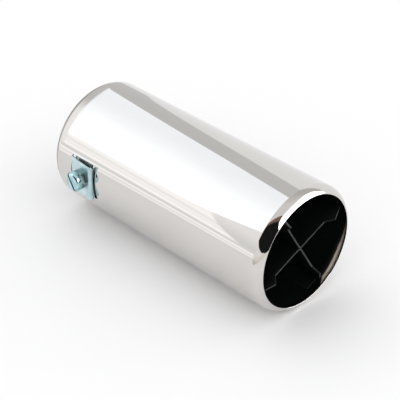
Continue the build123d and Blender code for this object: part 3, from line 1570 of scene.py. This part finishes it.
@dataclass(frozen=True)
class SkyCard:
    """A card round the part, at a distance in metres, seen only in the metal.

    Its corners are azimuths and elevations, in order round it, and it is what lies inside all its
    edges. Its glow goes from the first to the second value as the direction turns towards
    fade_towards by the angles of fade_span, and so does its tint where it has a second one. Streaks
    vary the glow by a share, in lines round fade_towards.
    """

    name: str
    distance: float
    corners: tuple[Angles, ...]
    glow: Span
    fade_towards: Angles = (0.0, 90.0)
    fade_span: Span = (90.0, 0.0)
    tint: Colour = (1.0, 1.0, 1.0, 1.0)
    far_tint: Colour | None = None
    streaks: float = 0.0
    streak_scale: float = 0.28
    sphere_segments: int = 96

    def build(self, target: Vector) -> None:
        """Cuts the card from a sphere round the part, and adds it to the stage.

        Args:
            target: The sphere's centre.
        """
        bm = bmesh.new()
        rows = self.sphere_segments // 2
        bmesh.ops.create_uvsphere(
            bm, u_segments=self.sphere_segments, v_segments=rows, radius=self.distance
        )
        ways = [direction(*corner) for corner in self.corners]
        middle = sum(ways, Vector())
        for first, second in zip(ways, ways[1:] + ways[:1]):
            outwards = first.cross(second)
            if outwards.dot(middle) > 0:
                outwards = -outwards
            bmesh.ops.bisect_plane(
                bm,
                geom=bm.verts[:] + bm.edges[:] + bm.faces[:],
                dist=MERGE_DISTANCE,
                plane_co=(0, 0, 0),
                plane_no=outwards,
                clear_outer=True,
            )
        bmesh.ops.translate(bm, verts=bm.verts, vec=target)
        show_in_metal(mesh_object(bm, self.name), self._material(target))

    def _material(self, target: Vector) -> Material:
        """Builds the card's glowing material.

        Args:
            target: The centre that directions are read from.

        Returns:
            The material.
        """
        made, wires, shader = new_material(self.name)
        shader.inputs["Base Color"].default_value = (0, 0, 0, 1)
        shader.inputs["Specular IOR Level"].default_value = 0.0
        shader.inputs["Emission Color"].default_value = self.tint
        shader.inputs["Emission Strength"].default_value = self.glow[0]
        if self.glow[0] == self.glow[1] and not self.streaks:
            return made
        unit = wires.vector("NORMALIZE", wires.vector("SUBTRACT", wires.here(), target))
        along = wires.vector("DOT_PRODUCT", unit, direction(*self.fade_towards))
        angle = wires.math("DEGREES", wires.math("ARCCOSINE", along))
        fade = wires.ramp(angle, *self.fade_span, smooth=True)
        if self.far_tint:
            wires.feed(shader.inputs["Emission Color"], wires.blend(fade, self.tint, self.far_tint))
        glow = wires.ramp(fade, 0.0, 1.0, *self.glow)
        if self.streaks:
            lines = wires.node("ShaderNodeTexNoise", noise_dimensions="1D")
            wires.feed(lines.inputs["W"], angle)
            wires.feed(lines.inputs["Scale"], self.streak_scale)
            wires.feed(lines.inputs["Detail"], 2.0)
            shift = wires.ramp(lines.outputs["Fac"], *NOISE_RANGE, 1 - self.streaks, 1 + self.streaks)
            glow = wires.math("MULTIPLY", glow, shift)
        wires.feed(shader.inputs["Emission Strength"], glow)
        return made


@dataclass(frozen=True)
class TableCorner:
    """The table beyond the corner of the paper, which only the metal sees. Its sizes are millimetres."""

    outline: tuple[Span, ...] = (
        (0, -278),
        (121, -189),
        (218, -260),
        (363, -256),
        (395, -127),
        (338, -39),
        (1500, -39),
        (1500, -1500),
        (0, -1500),
    )
    corner: Span = (121, -189)
    height: float = 0.5
    glow: Span = (0.55, 0.86)
    fade: float = 260.0
    tint: Colour = (1.0, 0.96, 0.9, 1)

    def build(self, floor_level: float) -> None:
        """Lays the table's top on the floor, and adds it to the stage.

        Args:
            floor_level: The floor's height in metres.
        """
        level = floor_level + self.height * MM
        bm = bmesh.new()
        edge = draw_line(bm, [Vector((x * MM, y * MM, level)) for x, y in self.outline])
        bm.edges.new((edge[-1], edge[0]))
        bmesh.ops.triangle_fill(bm, use_beauty=True, use_dissolve=False, edges=bm.edges[:])
        made, wires, shader = new_material("table_corner")
        away = wires.vector("DISTANCE", wires.here(), (self.corner[0] * MM, self.corner[1] * MM, level))
        wires.feed(shader.inputs["Emission Strength"], wires.ramp(away, 0.0, self.fade * MM, *self.glow))
        shader.inputs["Base Color"].default_value = (0, 0, 0, 1)
        shader.inputs["Emission Color"].default_value = self.tint
        show_in_metal(mesh_object(bm, "table_corner"), made)


@dataclass(frozen=True)
class SoftLamp:
    """A soft square lamp that lights the floor and the paint, and isn't mirrored."""

    name: str
    towards: Angles
    distance: float
    size: float
    radiance: float

    def build(self, target: Vector) -> None:
        """Hangs the lamp.

        Args:
            target: What it shines at.
        """
        lamp = bpy.data.lights.new(self.name, "AREA")
        lamp.shape = "SQUARE"
        lamp.size = self.size
        lamp.energy = self.radiance * pi * self.size**2
        hung = bpy.data.objects.new(self.name, lamp)
        hung.location = target + direction(*self.towards) * self.distance
        hung.rotation_euler = direction(*self.towards).to_track_quat("Z", "Y").to_euler()
        hung.visible_camera = False
        hung.visible_glossy = False
        bpy.context.scene.collection.objects.link(hung)


LAMPS = (
    SoftLamp("left_lamp", towards=(-75, 64), distance=1.7, size=1.8, radiance=0.43),
    SoftLamp("front_lamp", towards=(30, 40), distance=1.9, size=1.5, radiance=0.63),
    SoftLamp("low_lamp", towards=(70, 14), distance=1.2, size=1.0, radiance=0.51),
    SoftLamp("mouth_lamp", towards=(100, 12), distance=0.8, size=0.6, radiance=0.36),
)

CARDS = (
    SkyCard(
        "left_softbox",
        distance=7.0,
        corners=(
            (-38.6, 16),
            (-37.1, 23.3),
            (-36.6, 30),
            (-39, 40),
            (-54, 54.5),
            (-84, 62),
            (-115.7, 57.5),
            (-121.5, 49),
            (-135.7, 4),
            (-90, 6),
        ),
        glow=(1.70, 1.34),
        fade_towards=(136.8, 13.0),
        fade_span=(138.0, 92.0),
        tint=(0.97, 1.01, 1.06, 1.0),
    ),
    SkyCard(
        "right_softbox",
        distance=5.5,
        corners=(
            (78, 43),
            (88, 51),
            (104, 54),
            (122, 53),
            (140, 48),
            (151, 31),
            (151, -1),
            (96, -1),
            (86, 14),
            (76.5, 31),
        ),
        glow=(5.5, 0.85),
        fade_towards=(110, 90),
        fade_span=(74.0, 37.0),
    ),
    SkyCard(
        "dark_side",
        distance=6.0,
        corners=(
            (-31, 17),
            (-38, 46),
            (-18, 58),
            (14, 64),
            (49, 62),
            (80, 46),
            (100, 14),
            (103, -1),
            (45, -1),
            (15, 9),
        ),
        glow=(0.012, 0.26),
        fade_towards=(-163, 30),
        fade_span=(97.0, 91.5),
        far_tint=(1.0, 0.55, 0.42, 1.0),
    ),
    SkyCard(
        "dark_foot",
        distance=0.3,
        corners=((57, 8), (57, 1.2), (84, -7.2), (91, -7.2), (89, 8)),
        glow=(0.012, 0.012),
    ),
    SkyCard(
        "ceiling_panel",
        distance=10.5,
        corners=((0, 12), (90, 12), (180, 12), (-90, 12)),
        glow=(0.86, 0.62),
        fade_towards=(-168, 34),
        fade_span=(62.0, 22.0),
        far_tint=(1.0, 0.965, 0.93, 1.0),
    ),
    SkyCard(
        "grey_panel",
        distance=9.0,
        corners=((-139.2, -1), (-139.2, 46), (-120, 60), (-95, 40), (-95, -1)),
        glow=(0.72, 0.72),
    ),
    SkyCard(
        "white_wall",
        distance=9.5,
        corners=((-139.2, -1), (-139.2, 41), (-163, 40), (180, 34), (166, 23), (152, -1)),
        glow=(1.0, 1.0),
    ),
    SkyCard(
        "end_wall",
        distance=6.5,
        corners=dome(middle=-90.6, radius=46.47),
        glow=(0.72, 1.2),
        fade_towards=(-45, 20),
        fade_span=(52.0, 26.0),
    ),
    SkyCard(
        "side_wall",
        distance=9.2,
        corners=((-20, -1), (-20, 30), (-60, 30), (-60, -1)),
        glow=(0.93, 1.13),
        fade_towards=(-40, 90),
        fade_span=(88.0, 68.0),
    ),
    SkyCard(
        "low_sweep",
        distance=9.0,
        corners=((-32.3, -1), (-40, 27), (-100, 27), (-100, -1)),
        glow=(1.32, 1.36),
        fade_towards=(-40, 90),
        fade_span=(88.0, 72.0),
        streaks=0.12,
    ),
    SkyCard(
        "low_glow",
        distance=0.3,
        corners=((-14, -7.1), (-14, -0.5), (-100, -0.5), (-100, -7.1)),
        glow=(1.3, 1.3),
        fade_towards=(-40, 90),
        fade_span=(97.0, 90.0),
        streaks=0.12,
    ),
)


@dataclass
class Studio:
    """The floor, the room's light, the lamps, and the cards and table that the polished tube mirrors."""

    target: Vector = field(default_factory=lambda: Vector((0.085, 0.0, 0.0)))
    floor_level: float = -0.038
    floor_size: float = 24.0
    floor_parts: int = 8
    ambient: float = 0.88
    ceiling: float = 0.74
    ceiling_span: Span = (0.35, 0.75)

    def floor(self, paper: Material) -> None:
        """Lays the paper that the part rests on.

        Args:
            paper: The floor's material.
        """
        bm = bmesh.new()
        parts = self.floor_parts
        bmesh.ops.create_grid(bm, x_segments=parts, y_segments=parts, size=self.floor_size / 2)
        bmesh.ops.translate(bm, verts=bm.verts, vec=(0, 0, self.floor_level))
        sheet = mesh_object(bm, "floor")
        sheet.data.materials.append(paper)

    def world(self) -> None:
        """Fills the room with plain light, white to the camera and, below a dimmer ceiling, to the metal."""
        world = bpy.data.worlds.new("studio")
        world.use_nodes = True
        wires = Wiring(world.node_tree)
        background = world.node_tree.nodes["Background"]
        background.inputs["Color"].default_value = (1, 1, 1, 1)
        height = wires.node("ShaderNodeSeparateXYZ")
        wires.feed(height.inputs[0], wires.node("ShaderNodeTexCoord").outputs["Generated"])
        # A room that varies by direction is sampled as a light, which brightens the rough zinc a little.
        room = wires.ramp(height.outputs["Z"], *self.ceiling_span, 1.0, self.ceiling, smooth=True)
        light = wires.ramp(wires.seen(), 0.0, 1.0, self.ambient, room)
        photographed = wires.node("ShaderNodeLightPath").outputs["Is Camera Ray"]
        wires.feed(background.inputs["Strength"], wires.math("MAXIMUM", light, photographed))
        bpy.context.scene.world = world

    def lights(self) -> None:
        """Hangs the lamps and the cards, and lays the table."""
        for light in LAMPS + CARDS:
            light.build(self.target)
        TableCorner().build(self.floor_level)


@dataclass(frozen=True)
class PhotoCamera:
    """The camera at the photograph's viewing angle."""

    place: Triple = (0.5425, -0.44615, 0.41708)
    looks: Triple = (-0.59506, 0.58364, -0.55252)
    lens: float = 118.307
    clip: Span = (0.01, 100.0)

    def build(self) -> None:
        """Adds the camera to the scene."""
        camera = bpy.data.cameras.new("photo_camera")
        camera.lens = self.lens
        camera.clip_start, camera.clip_end = self.clip
        made = bpy.data.objects.new("photo_camera", camera)
        made.location = self.place
        made.rotation_euler = Vector(self.looks).to_track_quat("-Z", "Y").to_euler()
        bpy.context.scene.collection.objects.link(made)
        bpy.context.scene.camera = made


def main() -> None:
    """Builds the part's pieces in order, then the studio round them."""
    logging.basicConfig(level=logging.INFO, format="%(message)s")
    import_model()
    bpy.context.scene.view_settings.view_transform = "Standard"

    effects = SharedEffects()
    polish = PolishedSteel().material(effects)
    inside = InsideCoat().material(effects)
    paint = StripPaint().material(effects)
    edge = ShearedEdge().material(effects)
    plating = ZincPlate().material(effects)
    # A darker copy of the zinc for the nut: painted shade on its dark sides.
    shaded_plating = ZincPlate(
        name="shaded_zinc", bright=(0.30, 0.40, 0.40, 1), clouded=(0.12, 0.18, 0.18, 1), roughness=(0.3, 0.45)
    ).material(effects)
    blue_plating = ZincPlate(
        name="blue_zinc",
        bright=(0.52, 0.75, 0.80, 1),
        clouded=(0.14, 0.36, 0.42, 1),
        cover=0.3,
        roughness=(0.18, 0.3),
    ).material(effects)

    clamp = ClampPlace()
    makers = (
        (TubeShell(clamp), (polish, inside)),
        (FoldedBracket(clamp), (plating,)),
        (FixedNut(clamp), (shaded_plating,)),
        (SlottedScrew(clamp), (blue_plating,)),
        (CrossStrip("upper_strip", "upper_cross_strip", turn=18.0), (paint, edge)),
        (CrossStrip("lower_strip", "lower_cross_strip", turn=198.0), (paint, edge)),
    )
    for maker, finishes in makers:
        piece = maker.build()
        maker.dress(piece, *finishes)
        log.info("%s: %d faces", piece.name, len(piece.data.polygons))

    studio = Studio()
    studio.floor(StudioPaper().material())
    studio.world()
    studio.lights()
    PhotoCamera().build()


if __name__ == "__main__":
    main()
